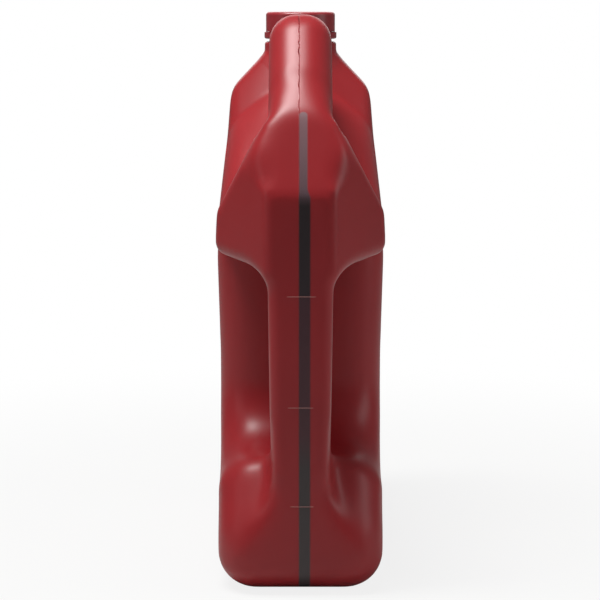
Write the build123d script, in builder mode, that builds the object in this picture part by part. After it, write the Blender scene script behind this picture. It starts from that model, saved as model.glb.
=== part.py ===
from build123d import *
import math
import os

# A five-quart motor oil jug: one blow-moulded bottle with two handles, a screw cap with its liner,
# and the tamper band that the cap leaves on the neck.
# The jug stands on Z = 0 with its rear pour handle toward -Y. Distances "in" are measured forward
# from the rear face, heights are measured up from the floor, and all lengths are millimetres.

# Driving sizes of the jug
jug_depth = 235.0
jug_width = 102.0
body_heights = (45.0, 85.0, 125.0, 186.0, 290.0)
body_width_shares = (0.9451, 0.9667, 0.9667, 1.0, 0.8392)
block_heights = (110.0, 205.0, 290.0)
block_width_shares = (0.9569, 0.9745, 0.8510)
bend_share = 0.1
crown_rise = 54.2
wall = 1.0
midway = 0.5
overrun = 60.0
tiny = 0.05

# Heel of the jug, below the pour handle
heel_height = 38.0
heel_top = 75.0
heel_top_in = 25.0
gap_floor = 79.0
gap_wall_in = 80.0
heel_round = 40.0
heel_top_round = 16.0
gap_floor_round = 34.0
front_corner = 34.0
rear_corner = 23.0
bottom_round = 21.0
push_up_rise = 2.0
push_up_margin_share = 0.249
push_up_corner_share = 0.413

# Shoulder, cut as a blunt cone about the neck
neck_in = 147.0
bead_radius = 22.3
bead_drop = 22.5
bead_height = 5.0
shoulder_crease_radius = 48.0
shoulder_drop = 29.0
cone_drop = 1.7
shoulder_fall_share = 0.9589
shoulder_crease_round = 30.0
shoulder_round = 18.0
deck_start_in = 52.0
roof_cover = 17.0

# Pour handle and the rear block that carries it
grip_top_half = 18.8
grip_foot_half = 17.0
grip_foot = 60.0
grip_thick = 32.0
flare_margin = 9.0
flare_foot = 22.0
flare_round = 45.0
gap_roof = 188.0
arch_rise = 6.0
arch_round = 14.0
rear_block_height = 44.0
crease_low_round = 16.0
rear_slope_height = 45.0
crease_high_in = 20.0
flank_half = 19.0
flank_turn_in = 60.0
flank_turn_half = 60.0
ridge_round = 30.0
ridge_foot_half = 53.0
ridge_rise = 21.75
block_round = 7.0
rear_lean = 0.25
block_foot_in = 70.0
block_foot_roof = 60.0
block_slab_in = 116.0
block_slab_rise = 24.0
deck_drop = 4.0
deck_foot_in = 56.0

# Carry handle above the rear block
bar_width = 37.2
bar_thick = 28.3
bar_top_round = 16.0
bar_foot_round = 7.0
foot_sink = 2.0
bar_under_round = 8.0
bar_blend = 26.0
front_leg_in = 112.0
front_leg_thick = 19.0
front_leg_sink = 7.0
under_corner_round = 10.0

# Neck finish and its right-hand thread
neck_radius = 17.4
bore_radius = 15.2
neck_height = 15.6
lock_bead_radius = 20.4
lock_bead_rise = 4.2
lock_bead_height = 1.4
thread_pitch = 4.233
thread_turns = 1.4
thread_depth = 1.25
thread_root = 2.4
thread_crest = 1.0
thread_sink = 0.4
neck_thread_rise = 2.0
neck_sink = 0.5

# Cap, liner and tamper band
cap_radius = 21.5
cap_gap = 0.4
cap_height = 12.0
cap_skirt = 2.0
cap_panel = 1.6
cap_edge_round = 1.8
cap_thread_rise = 3.42
cap_thread_turns = 0.9
cap_thread_depth = 1.5
liner_gap = 0.1
liner_radius = 18.6
liner_thick = 0.9
band_radius = 22.5
band_rise = 1.8
band_height = 4.1
band_wall = 1.4
band_round = 1.2
band_rib_reach = 19.0
band_rib_rise = 0.6
band_rib_gap = 0.03
bridge_count = 10
bridge_size = 0.9
bridge_gap = 0.1

# Level marks on the pour handle, at one, two and three quarts
mark_heights = (53.0, 110.8, 174.7)
mark_lengths = (13.8, 14.8, 16.5)
mark_height = 0.7
mark_rise = 0.3

# Heights that stack up from the roof of the finger gap
gap_roof_side = gap_roof + arch_rise
gap_roof_cover = gap_roof + roof_cover
ridge_foot = gap_roof + ridge_rise
block_slab_top = gap_roof + block_slab_rise
crease_low = gap_roof + rear_block_height
crease_high = crease_low + rear_slope_height
deck_foot = crease_low - deck_drop
front_leg_foot = crease_high - front_leg_sink
handle_top = crease_high + crown_rise
bead_foot = handle_top - bead_drop
bead_top = bead_foot + bead_height
cone_top = bead_foot - cone_drop
shoulder_crease_height = bead_foot - shoulder_drop
neck_top = bead_top + neck_height
lock_bead_foot = bead_top + lock_bead_rise
lock_bead_top = lock_bead_foot + lock_bead_height
neck_thread_start = lock_bead_top + neck_thread_rise
band_foot = bead_top + band_rise
band_top = band_foot + band_height
band_rib_foot = band_foot + band_rib_rise
band_rib_top = lock_bead_foot - band_rib_gap
cap_foot = band_top + cap_gap
cap_top = cap_foot + cap_height
cap_thread_start = cap_foot + cap_thread_rise

half_depth = (jug_depth - mark_rise) / 2
flare_half = jug_width / 2 - flare_margin
neck_y = neck_in - half_depth
tall = handle_top + overrun
side_reach = jug_width + overrun
foot_width = jug_width * body_width_shares[0]
push_up_margin = foot_width * push_up_margin_share
push_up_corner = (foot_width - 2 * push_up_margin) * push_up_corner_share
shoulder_reach = max(jug_depth, shoulder_crease_radius + overrun)
shoulder_foot = shoulder_crease_height - (shoulder_reach - shoulder_crease_radius) * shoulder_fall_share
side_plane = Plane.YZ.offset(-side_reach / 2)
face_plane = Plane.XZ.offset(half_depth + overrun)
face_reach = jug_depth + 2 * overrun
neck_axis = Axis((0, neck_y, 0), (0, 0, 1))
slope_rise = crease_high - crease_high_in
bar_drop = bar_thick * math.sqrt(2)
under_rise = slope_rise - bar_drop
bar_middle = slope_rise - bar_drop / 2


def back(distance):
    """Y of a place that lies this far in from the rear face."""
    return distance - half_depth


def level(height):
    """Picks the corners of a sketch that lie at this height."""
    return lambda vertex: abs(vertex.Y - height) < tiny


def outline(plane, points, rounds, inset, mirrored=False):
    """A closed outline with some corners rounded, drawn in by the inset for the hollow's form."""
    with BuildSketch(plane) as sketch:
        with BuildLine():
            Polyline(*points, close=True)
        make_face()
        for height, radius in rounds:
            fillet(sketch.vertices().filter_by(level(height)), radius)
        if mirrored:
            mirror(about=Plane.YZ)
        if inset:
            offset(amount=-inset, kind=Kind.INTERSECTION)
    return sketch.sketch


def bend_radius(before, corner, after):
    """Radius of the arc that takes up a share of the shorter run beside a corner."""
    first = Vector(corner) - Vector(before)
    second = Vector(after) - Vector(corner)
    turn = math.radians(first.get_angle(second))
    return bend_share * min(first.length, second.length) / math.tan(turn / 2)


def broad_outline(shares, heights, inset):
    """The jug seen from the rear: shares of its width at these heights, straight beyond them."""
    halves = [jug_width * share / 2 - inset for share in shares]
    points = [(halves[0], 0)]
    points += list(zip(halves, heights))
    points += [(halves[-1], tall)]
    rounds = []
    for before, corner, after in zip(points, points[1:], points[2:]):
        rounds.append((corner[1], bend_radius(before, corner, after)))
    return outline(face_plane, [(0, 0), *points, (0, tall)], rounds[:-1], 0, mirrored=True)


def body_form(inset):
    """The body, its heel behind the finger gap, and the conical shoulder below the neck."""
    side = outline(
        side_plane,
        [
            (back(0), 0),
            (back(0), heel_height),
            (back(heel_top_in), heel_top),
            (back(gap_wall_in), gap_floor),
            (back(gap_wall_in), gap_roof_cover),
            (back(deck_start_in), gap_roof_cover),
            (back(deck_start_in), tall),
            (back(jug_depth), tall),
            (back(jug_depth), 0),
        ],
        [(heel_height, heel_round), (heel_top, heel_top_round), (gap_floor, gap_floor_round)],
        inset,
    )
    shoulder = outline(
        Plane.YZ,
        [
            (neck_y - inset, -overrun),
            (neck_y - inset, bead_foot),
            (neck_y + bead_radius, bead_foot),
            (neck_y + bead_radius, cone_top),
            (neck_y + shoulder_crease_radius, shoulder_crease_height),
            (neck_y + shoulder_reach, shoulder_foot),
            (neck_y + shoulder_reach, -overrun),
        ],
        [(shoulder_crease_height, shoulder_crease_round)],
        inset,
    )
    broad = broad_outline(body_width_shares, body_heights, inset)
    with BuildPart() as body:
        extrude(side, amount=side_reach)
        extrude(broad, amount=-face_reach, mode=Mode.INTERSECT)
        front_edges = body.faces().sort_by(Axis.Y)[-1].edges()
        fillet(front_edges.filter_by(Axis.X, reverse=True), front_corner - inset)
        rear_edges = body.faces().sort_by(Axis.Y)[0].edges()
        fillet(rear_edges.filter_by(Axis.Z), rear_corner - inset)
        fillet(body.faces().sort_by(Axis.Z)[0].edges(), bottom_round - inset)
        revolve(shoulder, axis=neck_axis, mode=Mode.INTERSECT)
        rims = body.edges().filter_by(
            lambda edge: edge.geom_type not in (GeomType.CIRCLE, GeomType.LINE)
            and edge.center().Z > gap_roof_cover + inset + tiny
            and edge.center().Y > back(deck_start_in + inset + tiny)
        )
        fillet(rims, shoulder_round - inset)
        with BuildSketch(Plane.XY):
            with Locations((0, 0)):
                RectangleRounded(
                    foot_width - 2 * (push_up_margin - inset),
                    jug_depth - 2 * (push_up_margin - inset),
                    push_up_corner + inset,
                )
        extrude(amount=push_up_rise + inset, mode=Mode.SUBTRACT)
    return body.part


def block_form(inset):
    """The pour handle with the block above it, whose flanks run out to the broad faces."""
    side = outline(
        side_plane,
        [
            (back(0), flare_foot),
            (back(0), crease_low),
            (back(crease_high_in), crease_high),
            (back(crease_high_in + bar_drop / 2), crease_high - bar_drop / 2),
            (back(deck_foot_in), deck_foot),
            (back(deck_foot_in), block_slab_top),
            (back(block_slab_in), block_slab_top),
            (back(block_slab_in), gap_roof),
            (back(grip_thick), gap_roof),
            (back(grip_thick), block_foot_roof),
            (back(block_foot_in), block_foot_roof),
            (back(block_foot_in), flare_foot),
        ],
        [(crease_low, crease_low_round)],
        inset,
    )
    rear = outline(
        face_plane,
        [
            (0, flare_foot),
            (flare_half, flare_foot),
            (grip_foot_half, grip_foot),
            (grip_top_half, gap_roof - tiny),
            (ridge_foot_half, gap_roof_side),
            (ridge_foot_half, ridge_foot),
            (bar_width / 2, crease_high),
            (bar_width / 2, tall),
            (0, tall),
        ],
        [
            (gap_roof - tiny, arch_round),
            (grip_foot, flare_round),
            (crease_high, ridge_round),
        ],
        inset,
        mirrored=True,
    )
    flank = outline(
        Plane.XY.offset(block_heights[0]),
        [
            (flank_half, back(0)),
            (flank_turn_half, back(flank_turn_in)),
            (flank_turn_half, back(-overrun)),
            (flank_half, back(-overrun)),
        ],
        [],
        -inset,
    )
    broad = broad_outline(block_width_shares, block_heights, inset)
    with BuildPart() as block:
        extrude(side, amount=side_reach)
        extrude(rear, amount=-face_reach, mode=Mode.INTERSECT)
        extrude(flank, amount=tall, mode=Mode.SUBTRACT)
        extrude(mirror(flank, about=Plane.YZ, mode=Mode.PRIVATE), amount=tall, mode=Mode.SUBTRACT)
        extrude(broad, amount=-face_reach, mode=Mode.INTERSECT)
        rear_faces = block.faces().filter_by(lambda face: face.normal_at().Y < -rear_lean)
        rear_edges = ShapeList(edge for face in rear_faces for edge in face.edges())
        rims = block.edges().filter_by(
            lambda edge: (edge in rear_edges and (edge @ 0).X * (edge @ 1).X > 0)
            or (min((edge @ 0).Y, (edge @ 1).Y) < back(deck_start_in) and is_broad(edge.center()))
        )
        fillet(rims, block_round - inset)
    return block.part


def is_broad(place):
    """True for a place on one of the two broad faces."""
    return abs(place.X) > jug_width * block_width_shares[-1] / 2


def bar_section(plane, outer_round, inset):
    """The carry handle's section, square to its slope, drawn down from its outer face."""
    thick = bar_thick - 2 * inset
    with BuildSketch(plane) as section:
        with Locations((0, -inset - thick / 2)):
            Rectangle(bar_width - 2 * inset, thick)
        corners = section.vertices().sort_by(Axis.Y)
        fillet(corners[-2:], outer_round - inset)
        corners = section.vertices().sort_by(Axis.Y)
        fillet(corners[:2], bar_under_round - inset)
    return section.sketch


def long_edges(handle, far_side):
    """Edges that run along the carry handle, on the far or the near side of its middle line."""
    sides = handle.faces().filter_by(Plane.YZ)
    edges = ShapeList(edge for face in sides for edge in face.edges())
    runs = edges.filter_by(lambda edge: abs((edge % midway).Z) > rear_lean)
    return runs.filter_by(lambda edge: is_far(edge.center()) == far_side)


def is_far(place):
    """True for a place on the outer side of the carry handle's middle line."""
    inward = place.Y + half_depth
    return place.Z - inward > bar_middle or inward > front_leg_in - front_leg_thick / 2


def handle_form(inset):
    """The carry handle: a bar that rises at 45 degrees, turns over and drops onto the shoulder."""
    front = front_leg_in
    inner = front_leg_in - front_leg_thick
    full_in = crease_high_in + bar_blend / math.sqrt(2)
    under_in = full_in + bar_drop / 2
    crown_round = (front + slope_rise - handle_top) / math.sqrt(2)
    side = outline(
        side_plane,
        [
            (back(0), slope_rise),
            (back(front), front + slope_rise),
            (back(front), front_leg_foot),
            (back(inner), front_leg_foot),
            (back(inner), inner + under_rise),
            (back(under_in - crease_high_in), under_in - crease_high_in + under_rise),
        ],
        [(front + slope_rise, crown_round), (inner + under_rise, under_corner_round)],
        inset,
    )
    with BuildSketch(face_plane) as width:
        Rectangle(bar_width - 2 * inset, 2 * tall)
    foot = Plane(origin=(0, back(crease_high_in), crease_high), x_dir=(-1, 0, 0), z_dir=(0, 1, 1))
    end = foot.offset(bar_blend)
    with BuildPart() as handle:
        extrude(side, amount=side_reach)
        extrude(width.sketch, amount=-face_reach, mode=Mode.INTERSECT)
        fillet(long_edges(handle, True), bar_top_round - inset)
        fillet(long_edges(handle, False), bar_under_round - inset)
        split(bisect_by=end, keep=Keep.TOP)
        low = bar_section(foot.offset(-foot_sink), bar_foot_round, inset)
        high = bar_section(end, bar_top_round, inset)
        loft(sections=[low, high])
    return handle.part


def thread_ridge(radius, reach, start, turns):
    """One helical ridge about the Z axis, its root sunk a little into the wall that carries it."""
    side = 1 if reach > 0 else -1
    with BuildPart() as ridge:
        with BuildLine() as path:
            Helix(pitch=thread_pitch, height=thread_pitch * turns, radius=radius, center=(0, 0, start))
        origin = path.line @ 0
        with BuildSketch(Plane(origin=origin, x_dir=(side, 0, 0), z_dir=path.line % 0)):
            with BuildLine():
                Polyline(
                    (-thread_sink, -thread_root / 2),
                    (abs(reach), -thread_crest / 2),
                    (abs(reach), thread_crest / 2),
                    (-thread_sink, thread_root / 2),
                    close=True,
                )
            make_face()
        sweep(path=path.line, is_frenet=True)
    return Pos(0, neck_y, 0) * ridge.part


def ring(outer_radius, inner_radius, foot, top):
    """A plain ring about the neck's axis."""
    with BuildPart() as made:
        with BuildSketch(Plane.XY.offset(foot)):
            with Locations((0, neck_y)):
                Circle(outer_radius)
                if inner_radius:
                    Circle(inner_radius, mode=Mode.SUBTRACT)
        extrude(amount=top - foot)
    return made.part


body_outer = body_form(0)
block_outer = block_form(0)
handle_outer = handle_form(0)
body_inner = body_form(wall)
block_inner = block_form(wall)
handle_inner = handle_form(wall)
neck_thread = thread_ridge(neck_radius, thread_depth, neck_thread_start, thread_turns)

with BuildPart() as bottle:
    add(body_outer)
    add(block_outer)
    add(handle_outer)
    add(ring(bead_radius, 0, bead_foot - neck_sink, bead_top))
    add(ring(neck_radius, 0, bead_top - neck_sink, neck_top))
    add(ring(lock_bead_radius, 0, lock_bead_foot, lock_bead_top))
    add(neck_thread)
    with BuildPart(mode=Mode.PRIVATE) as hollow:
        add(body_inner)
        add(block_inner)
        add(handle_inner)
        add(ring(bore_radius, 0, bead_foot - overrun / 2, neck_top + overrun))
    add(hollow.part, mode=Mode.SUBTRACT)
    for mark_level, mark_length in zip(mark_heights, mark_lengths):
        with BuildSketch(Plane.XZ.offset(half_depth - wall / 2)):
            with Locations((0, mark_level)):
                Rectangle(mark_length, mark_height)
        extrude(amount=wall / 2 + mark_rise)

with BuildPart() as cap:
    add(ring(cap_radius, 0, cap_foot, cap_top))
    fillet(cap.faces().sort_by(Axis.Z)[-1].edges(), cap_edge_round)
    add(ring(cap_radius - cap_skirt, 0, cap_foot, cap_top - cap_panel), mode=Mode.SUBTRACT)
    add(thread_ridge(cap_radius - cap_skirt, -cap_thread_depth, cap_thread_start, cap_thread_turns))

with BuildPart() as cap_liner:
    add(ring(liner_radius, 0, neck_top + liner_gap, neck_top + liner_gap + liner_thick))

with BuildPart() as tamper_band:
    add(ring(band_radius, band_radius - band_wall, band_foot, band_top))
    fillet(tamper_band.faces().sort_by(Axis.Z)[0].outer_wire().edges(), band_round)
    add(ring(band_radius - band_wall + neck_sink, band_rib_reach, band_rib_foot, band_rib_top))
    with BuildSketch(Plane.XY.offset(band_top)):
        with Locations((0, neck_y)):
            with PolarLocations(cap_radius - bridge_size / 2, bridge_count):
                Rectangle(bridge_size, bridge_size)
    extrude(amount=cap_foot - bridge_gap - band_top)

bottle.part.label = "bottle"
cap.part.label = "cap"
cap_liner.part.label = "cap_liner"
tamper_band.part.label = "tamper_band"

os.makedirs("parts", exist_ok=True)
export_step(bottle.part, "parts/bottle.step")
export_step(cap.part, "parts/cap.step")
export_step(cap_liner.part, "parts/cap_liner.step")
export_step(tamper_band.part, "parts/tamper_band.step")
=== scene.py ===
import math

import bmesh
import bpy
import numpy as np
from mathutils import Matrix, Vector


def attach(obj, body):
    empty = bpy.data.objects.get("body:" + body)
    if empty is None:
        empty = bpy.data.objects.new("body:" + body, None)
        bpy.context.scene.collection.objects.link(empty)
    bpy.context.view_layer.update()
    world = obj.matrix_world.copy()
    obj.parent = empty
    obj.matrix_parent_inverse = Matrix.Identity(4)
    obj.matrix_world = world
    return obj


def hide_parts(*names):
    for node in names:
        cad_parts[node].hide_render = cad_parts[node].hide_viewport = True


bl_info = {
    "name": "Motor Oil Jug",
    "version": (1, 0, 0),
    "blender": (4, 5, 0),
    "location": "View3D > Sidebar > Oil Jug",
    "description": "Dresses a packed oil jug with blow-moulded surfaces and plastic finishes",
    "category": "Object",
}

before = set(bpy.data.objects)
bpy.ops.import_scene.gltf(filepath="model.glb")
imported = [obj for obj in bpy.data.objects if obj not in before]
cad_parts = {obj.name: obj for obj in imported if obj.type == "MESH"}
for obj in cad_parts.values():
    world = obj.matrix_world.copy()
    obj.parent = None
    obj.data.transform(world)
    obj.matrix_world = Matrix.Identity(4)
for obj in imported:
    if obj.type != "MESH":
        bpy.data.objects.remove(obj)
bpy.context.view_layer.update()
MM = 0.001

# Farther off than anything on the stage, for a range that is open on one side.
FAR = 10.0

# Places on the jug in millimetres, as its solids have them. Radii are about the neck's axis.
REAR = -117.35
NECK_Y = 29.65
NECK_RADIUS = 17.4
NECK_TOP = 329.3
BEAD_RADIUS = 22.3
BEAD_FOOT = 308.7
CONE_TOP = 307.0
OPENING_RADIUS = 19.0
SHOULDER_RADIUS = 48.0
SHOULDER_HEIGHT = 279.7
CREASE = 233.0
STRIP_END = 275.5

# Heights where the straight shank that carries the thread begins and ends, and the rows of points on it.
SHANK_TOP = 328.4
SHANK_FOOT = 319.5
SHANK_ROWS = 72

# Height, length and x of the middle of each level mark.
LEVEL_MARKS = ((53.0, 13.4, 0.8), (110.8, 14.3, 0.0), (174.7, 16.2, 0.5))

# Tones of the sight strip, each with its height: dark up to the crease, and above it paler towards the top,
# a painted reflection of light on the slope that faces up.
STRIP_TONES_AND_REFLECTION = (
    (0.0, "443C3D"), (75.0, "3D3536"), (95.0, "4A2B31"), (174.0, "45272F"), (175.5, "2E2227"),
    (226.0, "281F22"), (233.0, "5A454B"), (297.0, "8A686C"),
)
PARTING_LINE = "4A1A1E"
# Pale colour of the painted glint along the right edge of the pinch scar.
SCAR_GLINT = "E09A94"
# Pale colour of the painted highlight along the crests of the level marks.
CREST_HIGHLIGHT = "B9827C"

# Outline of the neck from the bore over the lip to the shank, and from the shank down to the cone.
LIP = (
    (15.2, 302.0), (15.2, 312.0), (15.2, 322.0), (15.2, 328.5), (15.35, 329.0), (15.8, 329.3),
    (16.3, 329.3), (16.8, 329.3), (17.2, 329.05), (17.4, 328.6),
)
BEADS = (
    (17.45, 319.35), (18.6, 319.3), (20.0, 319.25), (20.35, 319.0), (20.4, 318.6), (20.35, 318.2),
    (20.0, 317.95), (18.6, 317.9), (17.45, 317.85), (17.4, 317.6), (17.4, 316.0), (17.4, 314.1),
    (17.55, 313.8), (19.5, 313.7), (20.9, 313.68), (21.5, 313.5), (22.0, 313.05), (22.25, 312.5),
    (22.3, 311.8), (22.3, 310.2), (22.35, 308.8), (22.6, 307.7), (23.2, 306.6), (24.0, 305.5),
    (25.2, 304.1), (27.0, 301.8), (29.0, 299.2),
)

# Name, place, aim, width and height, and power in watts of each soft box.
LAMPS = (
    ("key_box", (-0.28, -0.12, 1.25), (0, -0.05, 0.2), (0.22, 0.62), 17.0),
    ("left_box", (-1.1, -0.5, 0.6), (0, -0.03, 0.14), (0.5, 0.9), 1.1),
    ("right_box", (1.15, -0.3, 0.6), (0, -0.03, 0.14), (0.5, 0.9), 3.2),
    ("back_box", (0.0, 1.3, 0.6), (0, 0, 0.15), (0.9, 0.5), 2.5),
)

MATH = "ShaderNodeMath"
MIX = "ShaderNodeMix"
NOISE = "ShaderNodeTexNoise"
PLASTIC = "ShaderNodeBsdfPrincipled"


class JugShellSettings(bpy.types.PropertyGroup):
    """Sizes of the moulded shell."""

    grain: bpy.props.FloatProperty(
        name="Surface step",
        description="Side of the little cells that the moulded skin is rebuilt from",
        default=1.65 * MM,
        unit="LENGTH",
    )
    passes: bpy.props.IntProperty(
        name="Softening passes",
        description="How often the skin is relaxed, which rounds edges as blowing does",
        default=8,
        min=0,
    )
    blend_passes: bpy.props.IntProperty(
        name="Blending passes",
        description="How often the heel and the root of the carry handle are relaxed further",
        default=110,
        min=0,
    )
    dome_sink: bpy.props.FloatProperty(
        name="Dome sink",
        description="How far the deck behind the neck lies below the shoulder's straight slope",
        default=13 * MM,
        unit="LENGTH",
    )
    strip_middle: bpy.props.FloatProperty(
        name="Sight strip middle",
        description="How far the clear sight strip lies to the right of the jug's middle",
        default=2.3 * MM,
        unit="LENGTH",
    )
    strip_width: bpy.props.FloatProperty(
        name="Sight strip width",
        description="Width of the clear sight strip below its crease",
        default=6.4 * MM,
        unit="LENGTH",
    )
    seam_middle: bpy.props.FloatProperty(
        name="Parting line middle",
        description="How far the mould's parting line lies to the right of the jug's middle",
        default=-0.9 * MM,
        unit="LENGTH",
    )


class JugFinishSettings(bpy.types.PropertyGroup):
    """Colours of the plastics."""

    body: bpy.props.StringProperty(
        name="Body colour", description="Red of the blown body, as an sRGB hex value", default="9C2227"
    )
    body_deep: bpy.props.StringProperty(
        name="Deep body colour",
        description="Red where the wall is thick, as an sRGB hex value",
        default="8B1E23",
    )
    cap: bpy.props.StringProperty(
        name="Cap colour", description="Red of the moulded cap, as an sRGB hex value", default="8E242B"
    )
    liner: bpy.props.StringProperty(
        name="Liner colour", description="White of the foamed liner, as an sRGB hex value", default="E4E1DA"
    )


class JugStageSettings(bpy.types.PropertyGroup):
    """The camera, lamps and floor."""

    distance: bpy.props.FloatProperty(
        name="Camera distance",
        description="From the rear face of the jug to the camera, along the floor",
        default=1.1,
        unit="LENGTH",
    )
    height: bpy.props.FloatProperty(
        name="Camera height",
        description="Height of the camera above the floor",
        default=0.345,
        unit="LENGTH",
    )
    aside: bpy.props.FloatProperty(
        name="Camera aside",
        description="How far the camera stands to the right of the jug's middle",
        default=-0.3 * MM,
        unit="LENGTH",
    )
    pitch: bpy.props.FloatProperty(
        name="Camera pitch",
        description="How far the camera looks down",
        default=math.radians(8.89),
        subtype="ANGLE",
    )
    opening: bpy.props.FloatProperty(
        name="Camera opening",
        description="Angle that the camera takes in",
        default=2 * math.atan(300 / 1976.6),
        subtype="ANGLE",
    )


def mesh_of(name, points, faces, smooth=True):
    """A mesh from an array of points in metres and an array of faces with equally many corners."""
    mesh = bpy.data.meshes.new(name)
    mesh.vertices.add(len(points))
    mesh.vertices.foreach_set("co", np.asarray(points, dtype=np.float32).ravel())
    mesh.loops.add(faces.size)
    mesh.loops.foreach_set("vertex_index", faces.astype(np.int32).ravel())
    mesh.polygons.add(len(faces))
    mesh.polygons.foreach_set("loop_start", np.arange(0, faces.size, faces.shape[1], dtype=np.int32))
    mesh.polygons.foreach_set("use_smooth", np.full(len(faces), smooth))
    mesh.update(calc_edges=True)
    mesh.validate()
    return mesh


def put_mesh(name, points, faces, smooth=True):
    """An object at the origin that holds such a mesh."""
    thing = bpy.data.objects.new(name, mesh_of(name, points, faces, smooth))
    bpy.context.collection.objects.link(thing)
    return thing


def mesh_arrays(mesh, corners):
    """The points of a mesh in millimetres and its faces, all with this many corners, as arrays."""
    points = np.empty(len(mesh.vertices) * 3)
    mesh.vertices.foreach_get("co", points)
    faces = np.empty(len(mesh.loops), dtype=np.int32)
    mesh.loops.foreach_get("vertex_index", faces)
    return points.reshape(-1, 3) / MM, faces.reshape(-1, corners)


def keep_faces(thing, points, faces):
    """Puts only these faces into the object's mesh, with the points that they use."""
    used, numbers = np.unique(faces, return_inverse=True)
    old = thing.data
    thing.data = mesh_of(thing.name, points[used] * MM, numbers.reshape(faces.shape))
    bpy.data.meshes.remove(old)


def grid_quads(rows, columns, wrap):
    """Corner numbers of the faces between the points of a grid, rows by columns.
    With wrap the last column joins the first."""
    row = np.arange(rows - 1)[:, None]
    column = np.arange(columns if wrap else columns - 1)[None, :]
    after = (column + 1) % columns
    low = row * columns
    high = (row + 1) * columns
    corners = np.stack([low + column, low + after, high + after, high + column], axis=-1)
    return corners.reshape(-1, 4)


def angles(around):
    """This many equal steps of a full turn, as a row of angles that starts at zero."""
    return np.linspace(0, 2 * math.pi, around, endpoint=False)[None, :]


def turned(radii, heights, around):
    """Points in metres of a surface of revolution about the neck, from radii and heights in millimetres.
    x = r cos(a), y = neck + r sin(a), z = h, for every pair of a place on the profile and an angle a.
    radii may vary with the angle, as it does on a thread."""
    radii = np.broadcast_to(radii, (len(heights), around))
    angle = angles(around)
    x = radii * np.cos(angle)
    y = NECK_Y + radii * np.sin(angle)
    z = np.broadcast_to(np.asarray(heights)[:, None], radii.shape)
    return np.stack([x, y, z], axis=-1).reshape(-1, 3) * MM


def copy_of(cad_node, name):
    """A copy of a CAD node's mesh with its loose triangles joined."""
    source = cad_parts[cad_node]
    thing = bpy.data.objects.new(name, source.data.copy())
    bpy.context.collection.objects.link(thing)
    thing.matrix_world = source.matrix_world.copy()
    thing.data.materials.clear()
    work = bmesh.new()
    work.from_mesh(thing.data)
    work.transform(thing.matrix_world)
    bmesh.ops.remove_doubles(work, verts=work.verts, dist=0.002 * MM)
    work.to_mesh(thing.data)
    work.free()
    thing.matrix_world.identity()
    return thing


def outer_skin(thing):
    """Leaves only the outside of the hollow jug, without its neck, and closes it at the foot of the bead.
    Without its lip the wall's two sides are apart, and the side that holds the lowest point is the outer
    one: starting there, whatever shares an edge with what is already reached is reached too."""
    points, faces = mesh_arrays(thing.data, 3)
    from_axis = np.hypot(points[:, 0], points[:, 1] - NECK_Y)
    lip = (from_axis < NECK_RADIUS + 0.1) & (points[:, 2] > NECK_TOP - 0.05)
    faces = faces[~lip[faces].all(axis=1)]
    edges = np.concatenate([faces[:, [0, 1]], faces[:, [1, 2]]])
    reached = np.zeros(len(points), dtype=bool)
    reached[points[:, 2].argmin()] = True
    count = 0
    while count < reached.sum():
        count = reached.sum()
        touched = reached[edges].any(axis=1)
        reached[edges[touched].ravel()] = True
    neck = (from_axis < BEAD_RADIUS + 0.3) & (points[:, 2] > BEAD_FOOT + 0.1)
    faces = faces[(reached & ~neck)[faces].all(axis=1)]
    if not len(faces):
        raise RuntimeError("the bottle has no outer side to rebuild")
    keep_faces(thing, points, faces)
    work = bmesh.new()
    work.from_mesh(thing.data)
    bmesh.ops.holes_fill(work, edges=[edge for edge in work.edges if edge.is_boundary], sides=0)
    bmesh.ops.triangulate(work, faces=work.faces)
    work.to_mesh(thing.data)
    work.free()


def raised_lines(rows):
    """Points in metres and faces of thin raised lines on the rear face, from the height, length and middle
    of each in millimetres. Each is a sheet over u and v from -1 to 1, whose rim lies inside the wall:
    x = middle + u length / 2, z = height + v half_width and
    y = rear + rim_depth - (rim_depth + rise) sqrt(1 - u^10) sqrt(1 - v^4)."""
    half_width, rim_depth, rise = 0.35, 0.9, 0.27
    across, along = 13, 49
    u, v = np.meshgrid(np.linspace(-1, 1, along), np.linspace(-1, 1, across))
    y = REAR + rim_depth - (rim_depth + rise) * np.sqrt(1 - u ** 10) * np.sqrt(1 - v ** 4)
    points, faces = [], []
    for height, length, middle in rows:
        faces.append(grid_quads(across, along, False) + len(points) * u.size)
        sheet = np.stack([middle + u * length / 2, y, height + v * half_width], axis=-1)
        points.append(sheet.reshape(-1, 3))
    return np.concatenate(points) * MM, np.concatenate(faces)


def thread_reach(height, angle):
    """How far the thread stands out of the shank at each height and angle, in millimetres.
    It is a ridge whose middle climbs one pitch each turn. Its reach falls off linearly on both flanks, and
    fades in and out over an eighth of a turn at its ends."""
    pitch, start, turns = 4.233, 321.3, 1.4
    depth, half_width, flank_width, fade_turns = 1.25, 1.2, 0.7, 0.12
    reach = np.zeros(np.broadcast_shapes(height.shape, angle.shape))
    for lap in range(math.ceil(turns)):
        turn = angle / (2 * math.pi) + lap
        away = np.abs(height - start - pitch * turn)
        flank = np.clip((half_width - away) / flank_width, 0, 1)
        fade = np.clip(turn / fade_turns, 0, 1) * np.clip((turns - turn) / fade_turns, 0, 1)
        reach = np.maximum(reach, depth * flank * fade)
    return reach


def near(value, low, high, soft):
    """One between two values, falling smoothly to nothing over the soft distance outside them."""
    away = np.clip(np.maximum(low - value, value - high) / soft, 0, 1)
    return 1 - away * away * (3 - 2 * away)


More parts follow.
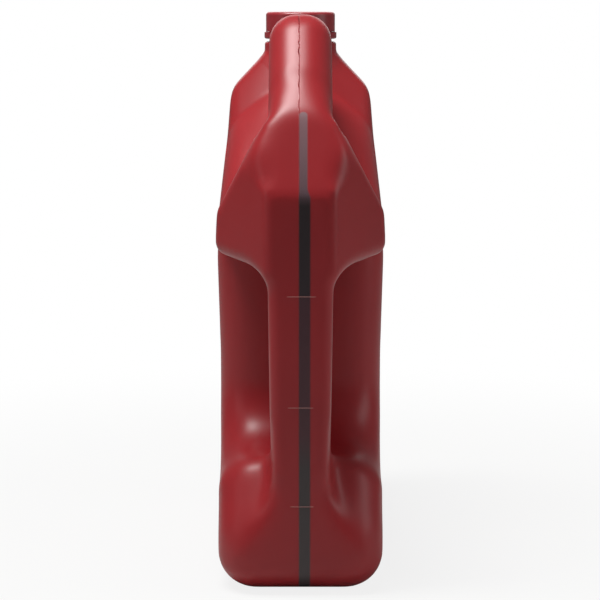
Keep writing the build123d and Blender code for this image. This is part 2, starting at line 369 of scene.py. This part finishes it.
def shoulder_drop(points, depth):
    """How far each place sinks, so the shoulder falls steeply behind the neck, with a flatter deck below.
    Points, depth and result are in millimetres. With b the distance behind the neck's axis, a place sinks
    by depth * share(b), where the share rises to one at b = 26 mm and fades out at 95 mm. It sinks by less
    the farther it is from the shoulder's own slope: a cone about the neck, with a flatter one outside."""
    cone_fall, shoulder_fall = 1.062, 0.959
    back = NECK_Y - points[:, 1]
    radius = np.hypot(points[:, 0], back)
    cone = CONE_TOP - (radius - BEAD_RADIUS) * cone_fall
    shoulder = SHOULDER_HEIGHT - (radius - SHOULDER_RADIUS) * shoulder_fall
    slope = np.where(radius < SHOULDER_RADIUS, cone, shoulder)
    share = np.interp(back, [11, 26, 46, 62, 95], [0, 1, 0.75, 0.5, 0])
    return depth * share * near(points[:, 2] - slope, -12, 2, 16)


def soft_places(thing):
    """Marks how far each place is relaxed further, and gives the name of the vertex group with the marks.
    It is the heel round the foot of the pour handle but not the handle itself, the corner where the carry
    handle leaves the rear block, and the block's flanks below it. Each mark is a product of soft steps in
    the distances from the middle plane, the rear and the floor."""
    points = mesh_arrays(thing.data, 4)[0]
    aside = np.abs(points[:, 0])
    inward = points[:, 1] - REAR
    height = points[:, 2]
    heel = near(aside, 0, 41, 7) * near(inward, -5, 78, 12) * near(height, 26, 92, 14)
    grip = near(aside, 0, 14, 5) * near(inward, -5, 33, 5) * near(height, 72, 400, 14)
    corner = near(aside, 0, 16, 9) * near(inward, 5, 40, 8) * near(height, 266, 292, 14)
    flank = near(aside, 17, 30, 5) * near(inward, 0, 26, 6) * near(height, 243, 266, 9)
    mark = np.maximum(heel * (1 - grip), np.maximum(corner, flank))
    group = thing.vertex_groups.new(name="soft_places")
    levels = 20
    level_of = np.round(mark * levels).astype(int)
    for level in range(1, levels + 1):
        group.add(np.flatnonzero(level_of == level).tolist(), level / levels, "REPLACE")
    return group.name


def settle(thing):
    """Applies every modifier, so the mesh is what they make of it."""
    seen = thing.evaluated_get(bpy.context.evaluated_depsgraph_get())
    mesh = bpy.data.meshes.new_from_object(seen)
    old = thing.data
    thing.modifiers.clear()
    thing.data = mesh
    mesh.name = thing.name
    bpy.data.meshes.remove(old)


def relax(thing, passes, places=""):
    """Relaxes the surface this many times, or only where the vertex group of that name says."""
    smooth = thing.modifiers.new("relax", "SMOOTH")
    smooth.factor = 0.5
    smooth.iterations = passes
    smooth.vertex_group = places
    settle(thing)


def linear(hex_value):
    """An sRGB hex value as linear light, with an alpha of one."""
    channels = [int(hex_value[place:place + 2], 16) / 255 for place in (0, 2, 4)]
    return [c / 12.92 if c <= 0.04045 else ((c + 0.055) / 1.055) ** 2.4 for c in channels] + [1.0]


def node(tree, kind, inputs=(), output=0, **settings):
    """Adds one node with its settings and gives one of its outputs.
    Each input is a value or another node's output. A list fills the sockets in order, a dict by name or
    number."""
    made = tree.nodes.new(kind)
    for key, value in settings.items():
        setattr(made, key, value)
    pairs = inputs.items() if isinstance(inputs, dict) else enumerate(inputs)
    for socket, value in pairs:
        if isinstance(value, bpy.types.NodeSocket):
            tree.links.new(value, made.inputs[socket])
        else:
            made.inputs[socket].default_value = value
    return made.outputs[output] if len(made.outputs) else None


def blank(name):
    """A new material with an empty node tree."""
    made = bpy.data.materials.new(name)
    made.use_nodes = True
    made.node_tree.nodes.clear()
    return made


def within(tree, value, low, high, soft):
    """A pattern that is one where a value lies between two others, and falls smoothly to nothing over the
    soft distance outside them."""
    under = node(tree, MATH, [low, value], operation="SUBTRACT")
    over = node(tree, MATH, [value, high], operation="SUBTRACT")
    away = node(tree, MATH, [under, over], operation="MAXIMUM")
    span = {"Value": away, "From Min": soft, "From Max": 0.0, "To Min": 0.0, "To Max": 1.0}
    return node(tree, "ShaderNodeMapRange", span, interpolation_type="SMOOTHSTEP")


def red_polyethylene(settings, shell):
    """Blow-moulded high-density polyethylene, coloured through: waxy, a little light gets into it, and
    its skin has the faint unevenness of a parison that was blown against a sand-blasted mould.
    A strip of uncoloured plastic runs down the rear, where the dark oil shows through; above its crease it
    is painted paler towards the top, a painted reflection of light."""
    made = blank("blown_polyethylene_red")
    tree = made.node_tree
    place = node(tree, "ShaderNodeTexCoord", output="Object")
    x, y, z = node(tree, "ShaderNodeSeparateXYZ", [place]).node.outputs

    # Wall thickness varies over some 60 mm, so the red is deeper in some places than in others.
    cloud = node(tree, NOISE, {"Vector": place, "Scale": 0.016 / MM, "Detail": 2.0, "Roughness": 0.5})
    reds = {0: cloud, 6: linear(settings.body), 7: linear(settings.body_deep)}
    colour = node(tree, MIX, reds, output=2, data_type="RGBA")

    # The parting line of the mould wanders a few tenths of a millimetre off the middle plane, in waves of
    # some 8 mm. On the carry handle it is the scar where the parison was pinched shut.
    wander = node(tree, NOISE, {"Vector": place, "Scale": 0.12 / MM, "Detail": 2.0, "Roughness": 0.5})
    shift = node(tree, MATH, [wander, 1.1 * MM, -0.55 * MM], operation="MULTIPLY_ADD")
    drift = node(tree, MATH, [x, shift], operation="ADD")
    seam = within(tree, drift, shell.seam_middle, shell.seam_middle, 0.44 * MM)
    on_handle = [within(tree, z, 300 * MM, FAR, 24 * MM), within(tree, y, -FAR, -50 * MM, 30 * MM)]
    scar = node(tree, MATH, on_handle, operation="MULTIPLY")
    strength = node(tree, MATH, [scar, 0.75, 0.25], operation="MULTIPLY_ADD")
    line = node(tree, MATH, [seam, strength], operation="MULTIPLY")
    line_tint = node(tree, MATH, [line, 0.4], operation="MULTIPLY")
    reds = {0: line_tint, 6: colour, 7: linear(PARTING_LINE)}
    colour = node(tree, MIX, reds, output=2, data_type="RGBA")

    # Where the scar stands higher, its right edge is painted paler: a painted glint of light along the
    # scar, not wear. The limits of the edge are crossed, so it never quite reaches one.
    glinting = node(tree, MATH, [scar, within(tree, wander, 0.60, FAR, 0.14)], operation="MULTIPLY")
    right_side = shell.seam_middle + 0.55 * MM
    edge = within(tree, drift, right_side + 0.1 * MM, right_side - 0.1 * MM, 0.44 * MM)
    scar_glint = node(tree, MATH, [edge, glinting], operation="MULTIPLY")
    scar_glint_tint = node(tree, MATH, [scar_glint, 0.4], operation="MULTIPLY")
    reds = {0: scar_glint_tint, 6: colour, 7: linear(SCAR_GLINT)}
    colour = node(tree, MIX, reds, output=2, data_type="RGBA")

    # The sight strip is narrower above the crease, and ends round at the root of the carry handle.
    above = within(tree, z, (CREASE + 3) * MM, FAR, 6 * MM)
    half = node(tree, MATH, [above, -0.9 * MM, shell.strip_width / 2], operation="MULTIPLY_ADD")
    middle = node(tree, MATH, [above, -0.7 * MM, shell.strip_middle], operation="MULTIPLY_ADD")
    aside = node(tree, MATH, [x, middle], operation="SUBTRACT")
    past_end = node(tree, MATH, [z, STRIP_END * MM], operation="SUBTRACT")
    past_end = node(tree, MATH, [past_end, 0.0], operation="MAXIMUM")
    past_end = node(tree, MATH, [past_end, 1.3], operation="MULTIPLY")
    to_end = node(tree, "ShaderNodeCombineXYZ", [aside, past_end])
    from_end = node(tree, "ShaderNodeVectorMath", [to_end], output="Value", operation="LENGTH")
    inside = node(tree, MATH, [half, from_end], operation="SUBTRACT")
    across = within(tree, inside, 0.6 * MM, FAR, 1.3 * MM)

    # It lies only on the rear face, and on the slope above it that leans forward by 0.46 of its height.
    climb = node(tree, MATH, [z, (CREASE - 7) * MM], operation="SUBTRACT")
    climb = node(tree, MATH, [climb, 0.0], operation="MAXIMUM")
    behind = node(tree, MATH, [climb, 0.46, (REAR + 15) * MM], operation="MULTIPLY_ADD")
    depth = node(tree, MATH, [y, behind], operation="SUBTRACT")
    rearward = within(tree, depth, -FAR, 0.0, 1.0 * MM)
    strip = node(tree, MATH, [across, rearward], operation="MULTIPLY")
    # The strip's colour by height: painted paler above the crease, a painted reflection of light on the
    # slope that faces up.
    ramp_top = 300 * MM
    tone = node(tree, "ShaderNodeValToRGB", [node(tree, MATH, [z, ramp_top], operation="DIVIDE")])
    stops = tone.node.color_ramp.elements
    stops[1].position = STRIP_TONES_AND_REFLECTION[-1][0] * MM / ramp_top
    for height, _ in STRIP_TONES_AND_REFLECTION[1:-1]:
        stops.new(height * MM / ramp_top)
    for stop, (height, colour_there) in zip(stops, STRIP_TONES_AND_REFLECTION):
        stop.color = linear(colour_there)
    colour = node(tree, MIX, {0: strip, 6: colour, 7: tone}, output=2, data_type="RGBA")

    # The crests of the level marks are painted paler: a painted highlight along them.
    crests = 0.0
    for height, length, off in LEVEL_MARKS:
        reach = length / 2 - 0.6
        along = within(tree, x, (off - reach) * MM, (off + reach) * MM, 1.2 * MM)
        upright = within(tree, z, (height - 0.02) * MM, (height + 0.02) * MM, 0.4 * MM)
        crests = node(tree, MATH, [along, upright, crests], operation="MULTIPLY_ADD")
    crests = node(tree, MATH, [crests, rearward], operation="MULTIPLY")
    crest_highlight_tint = node(tree, MATH, [crests, 0.55], operation="MULTIPLY")
    reds = {0: crest_highlight_tint, 6: colour, 7: linear(CREST_HIGHLIGHT)}
    colour = node(tree, MIX, reds, output=2, data_type="RGBA")

    # Relief in millimetres: the 0.9 mm grain of the blasted mould, slow waves of some 20 mm, and the
    # parting line, which stands higher in some places.
    grain = node(tree, NOISE, {"Vector": place, "Scale": 1.1 / MM, "Detail": 2.0, "Roughness": 0.55})
    wave = node(tree, NOISE, {"Vector": place, "Scale": 0.045 / MM, "Detail": 1.0, "Roughness": 0.4})
    pinched = within(tree, wander, 0.62, FAR, 0.20)
    line_height = node(tree, MATH, [pinched, 0.55, 0.12], operation="MULTIPLY_ADD")
    relief = node(tree, MATH, [line, line_height], operation="MULTIPLY")
    relief = node(tree, MATH, [grain, 0.012, relief], operation="MULTIPLY_ADD")
    relief = node(tree, MATH, [wave, 0.16, relief], operation="MULTIPLY_ADD")
    bump = node(tree, "ShaderNodeBump", {"Height": relief, "Strength": 1.0, "Distance": 1.0 * MM})
    shader = node(tree, PLASTIC, {
        "Base Color": colour,
        "IOR": 1.54,
        "Roughness": 0.38,
        "Specular IOR Level": 0.31,
        "Subsurface Weight": 0.1,
        "Subsurface Radius": (1.0, 0.2, 0.15),
        "Subsurface Scale": 3.0 * MM,
        "Normal": bump,
    })
    node(tree, "ShaderNodeOutputMaterial", {"Surface": shader})
    return made


def cap_polypropylene(settings):
    """Injection-moulded polypropylene: an even colour, and a soft shine from a polished tool whose finest
    grain is drawn at 1.1 mm, so that it shows at all."""
    made = blank("moulded_polypropylene_red")
    tree = made.node_tree
    place = node(tree, "ShaderNodeTexCoord", output="Object")
    grain = node(tree, NOISE, {"Vector": place, "Scale": 0.9 / MM, "Detail": 2.0, "Roughness": 0.5})
    bump = node(tree, "ShaderNodeBump", {"Height": grain, "Strength": 0.25, "Distance": 0.05 * MM})
    shader = node(tree, PLASTIC, {
        "Base Color": linear(settings.cap),
        "IOR": 1.49,
        "Roughness": 0.34,
        "Subsurface Weight": 0.05,
        "Subsurface Scale": 1.5 * MM,
        "Normal": bump,
    })
    node(tree, "ShaderNodeOutputMaterial", {"Surface": shader})
    return made


def foamed_liner(settings):
    """Foamed polyethylene sheet, die cut: matte, with open cells of some 0.45 mm."""
    made = blank("foamed_polyethylene_white")
    tree = made.node_tree
    place = node(tree, "ShaderNodeTexCoord", output="Object")
    pits = node(tree, "ShaderNodeTexVoronoi", {"Vector": place, "Scale": 2.2 / MM}, output="Distance")
    bump = node(tree, "ShaderNodeBump", {"Height": pits, "Strength": 0.4, "Distance": 0.05 * MM})
    shader = node(tree, PLASTIC, {
        "Base Color": linear(settings.liner),
        "IOR": 1.5,
        "Roughness": 0.7,
        "Normal": bump,
    })
    node(tree, "ShaderNodeOutputMaterial", {"Surface": shader})
    return made


def plain_paper():
    """Matte white paper: what the camera sees of it is near white, the jug's shadow on it stays, and far
    from the jug it runs evenly into the white of the room."""
    made = blank("matte_white_paper")
    tree = made.node_tree
    seen = node(tree, "ShaderNodeLightPath", output="Is Camera Ray")
    place = node(tree, "ShaderNodeTexCoord", output="Object")
    away = node(tree, "ShaderNodeVectorMath", [place], output="Value", operation="LENGTH")
    beside_jug = within(tree, away, -FAR, 0.18, 0.44)
    paper = node(tree, "ShaderNodeBsdfDiffuse", {"Color": linear("C4C4C2")})
    glow = node(tree, "ShaderNodeEmission", {"Color": (1, 1, 1, 1), "Strength": 1.0})
    amount = node(tree, MATH, [beside_jug, -0.16, 1.0], operation="MULTIPLY_ADD")
    amount = node(tree, MATH, [amount, seen], operation="MULTIPLY")
    mixed = node(tree, "ShaderNodeMixShader", [amount, paper, glow])
    node(tree, "ShaderNodeOutputMaterial", {"Surface": mixed})
    return made


def shared_material(name, maker, *settings):
    """The material of that name, made the first time that it is asked for."""
    return bpy.data.materials.get(name) or maker(*settings)


def dress(thing, material):
    """Gives an object this one material."""
    if not thing.material_slots:
        thing.data.materials.append(material)
    for slot in thing.material_slots:
        slot.material = material


def join_body(context, thing):
    """Gives a piece of the blown body its plastic, and shows it in the bottle's place."""
    scene = context.scene
    plastic = shared_material(
        "blown_polyethylene_red", red_polyethylene, scene.jug_finish, scene.jug_shell
    )
    dress(thing, plastic)
    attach(thing, "jug")
    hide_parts("bottle")


class JUG_OT_shell(bpy.types.Operator):
    """Rebuild the outside of the jug as one soft blown skin"""

    bl_idname = "jug.shell"
    bl_label = "Blown shell"

    def execute(self, context):
        sizes = context.scene.jug_shell
        shell = copy_of("bottle", "blown_shell")
        outer_skin(shell)
        cells = shell.modifiers.new("cells", "REMESH")
        cells.mode = "VOXEL"
        cells.voxel_size = sizes.grain
        cells.use_smooth_shade = True
        settle(shell)
        points = mesh_arrays(shell.data, 4)[0]
        points[:, 2] -= shoulder_drop(points, sizes.dome_sink / MM)
        shell.data.vertices.foreach_set("co", (points * MM).ravel())
        relax(shell, sizes.passes)
        relax(shell, sizes.blend_passes, soft_places(shell))
        shell.vertex_groups.clear()
        # The neck grows out of the shell here, so the shell is open below it.
        points, faces = mesh_arrays(shell.data, 4)
        middle = points[faces].mean(axis=1)
        from_axis = np.hypot(middle[:, 0], middle[:, 1] - NECK_Y)
        hidden = (middle[:, 2] > CONE_TOP - 1) & (from_axis < OPENING_RADIUS)
        keep_faces(shell, points, faces[~hidden])
        join_body(context, shell)
        return {"FINISHED"}


class JUG_OT_marks(bpy.types.Operator):
    """Lay the raised level marks on the rear face"""

    bl_idname = "jug.marks"
    bl_label = "Level marks"

    def execute(self, context):
        marks = put_mesh("level_marks", *raised_lines(LEVEL_MARKS))
        join_body(context, marks)
        return {"FINISHED"}


class JUG_OT_neck(bpy.types.Operator):
    """Turn the neck with its bore, lip, thread and two beads"""

    bl_idname = "jug.neck"
    bl_label = "Neck finish"

    def execute(self, context):
        around = 192
        heights = np.linspace(SHANK_TOP, SHANK_FOOT, SHANK_ROWS)
        shank = np.stack([np.full(SHANK_ROWS, NECK_RADIUS), heights], axis=-1)
        rows = np.concatenate([LIP, shank, BEADS])
        radii = np.repeat(rows[:, :1], around, axis=1)
        radii[len(LIP):len(LIP) + SHANK_ROWS] += thread_reach(shank[:, 1:], angles(around))
        points = turned(radii, rows[:, 1], around)
        sink = context.scene.jug_shell.dome_sink / MM
        points[:, 2] -= shoulder_drop(points / MM, sink) * MM
        neck = put_mesh("neck_finish", points, grid_quads(len(rows), around, True)[:, ::-1])
        join_body(context, neck)
        return {"FINISHED"}


class JUG_OT_closure(bpy.types.Operator):
    """Give the cap, its liner and the tamper band their finishes"""

    bl_idname = "jug.closure"
    bl_label = "Cap, liner and band"

    def execute(self, context):
        settings = context.scene.jug_finish
        plastic = shared_material("moulded_polypropylene_red", cap_polypropylene, settings)
        dress(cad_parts["cap"], plastic)
        dress(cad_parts["tamper_band"], plastic)
        foam = shared_material("foamed_polyethylene_white", foamed_liner, settings)
        dress(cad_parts["cap_liner"], foam)
        return {"FINISHED"}


def lamp(name, place, aim, size, power):
    """A soft box that looks from one place at another."""
    light = bpy.data.lights.new(name, "AREA")
    light.shape = "RECTANGLE"
    light.size, light.size_y = size
    light.energy = power
    thing = bpy.data.objects.new(name, light)
    bpy.context.collection.objects.link(thing)
    thing.location = place
    thing.rotation_euler = (Vector(aim) - Vector(place)).to_track_quat("-Z", "Y").to_euler()


class JUG_OT_stage(bpy.types.Operator):
    """Set the floor, the lamps and the camera"""

    bl_idname = "jug.stage"
    bl_label = "Stage"

    def execute(self, context):
        scene = context.scene
        settings = scene.jug_stage
        side = np.linspace(-6, 6, 3)
        x, y = np.meshgrid(side, side)
        points = np.stack([x.ravel(), y.ravel(), np.zeros(x.size)], axis=-1)
        floor = put_mesh("floor", points, grid_quads(len(side), len(side), False), smooth=False)
        dress(floor, plain_paper())

        # The room is white to the camera, and lights the jug with less than a fifth of that.
        world = bpy.data.worlds.new("pale_room")
        scene.world = world
        world.use_nodes = True
        tree = world.node_tree
        tree.nodes.clear()
        seen = node(tree, "ShaderNodeLightPath", output="Is Camera Ray")
        strength = node(tree, MATH, [seen, 0.82, 0.18], operation="MULTIPLY_ADD")
        room = node(tree, "ShaderNodeBackground", {"Color": (1, 1, 1, 1), "Strength": strength})
        node(tree, "ShaderNodeOutputWorld", {"Surface": room})
        for row in LAMPS:
            lamp(*row)

        lens = bpy.data.cameras.new("photo_camera")
        lens.sensor_fit = "HORIZONTAL"
        lens.angle = settings.opening
        lens.clip_end = 50
        camera = bpy.data.objects.new("photo_camera", lens)
        bpy.context.collection.objects.link(camera)
        camera.location = (settings.aside, REAR * MM - settings.distance, settings.height)
        camera.rotation_euler = (math.pi / 2 - settings.pitch, 0, 0)
        scene.camera = camera
        scene.view_settings.view_transform = "Standard"
        return {"FINISHED"}


class JUG_PT_panel(bpy.types.Panel):
    """Lists what dresses the jug"""

    bl_idname = "JUG_PT_panel"
    bl_label = "Oil Jug"
    bl_space_type = "VIEW_3D"
    bl_region_type = "UI"
    bl_category = "Oil Jug"

    def draw(self, context):
        scene = context.scene
        for group in (scene.jug_shell, scene.jug_finish, scene.jug_stage):
            box = self.layout.box()
            for key in group.bl_rna.properties.keys():
                if key not in ("rna_type", "name"):
                    box.prop(group, key)
        for operator in STEPS:
            self.layout.operator(operator.bl_idname)


STEPS = (JUG_OT_shell, JUG_OT_marks, JUG_OT_neck, JUG_OT_closure, JUG_OT_stage)
CLASSES = (JugShellSettings, JugFinishSettings, JugStageSettings) + STEPS + (JUG_PT_panel,)


def register():
    """Makes the settings, operators and panel known to Blender."""
    for item in CLASSES:
        bpy.utils.register_class(item)
    bpy.types.Scene.jug_shell = bpy.props.PointerProperty(type=JugShellSettings)
    bpy.types.Scene.jug_finish = bpy.props.PointerProperty(type=JugFinishSettings)
    bpy.types.Scene.jug_stage = bpy.props.PointerProperty(type=JugStageSettings)


def unregister():
    """Takes them out again."""
    del bpy.types.Scene.jug_stage
    del bpy.types.Scene.jug_finish
    del bpy.types.Scene.jug_shell
    for item in reversed(CLASSES):
        bpy.utils.unregister_class(item)


def main():
    """Dresses the jug."""
    register()
    bpy.ops.jug.shell()
    bpy.ops.jug.marks()
    bpy.ops.jug.neck()
    bpy.ops.jug.closure()
    bpy.ops.jug.stage()


if __name__ == "__main__":
    main()
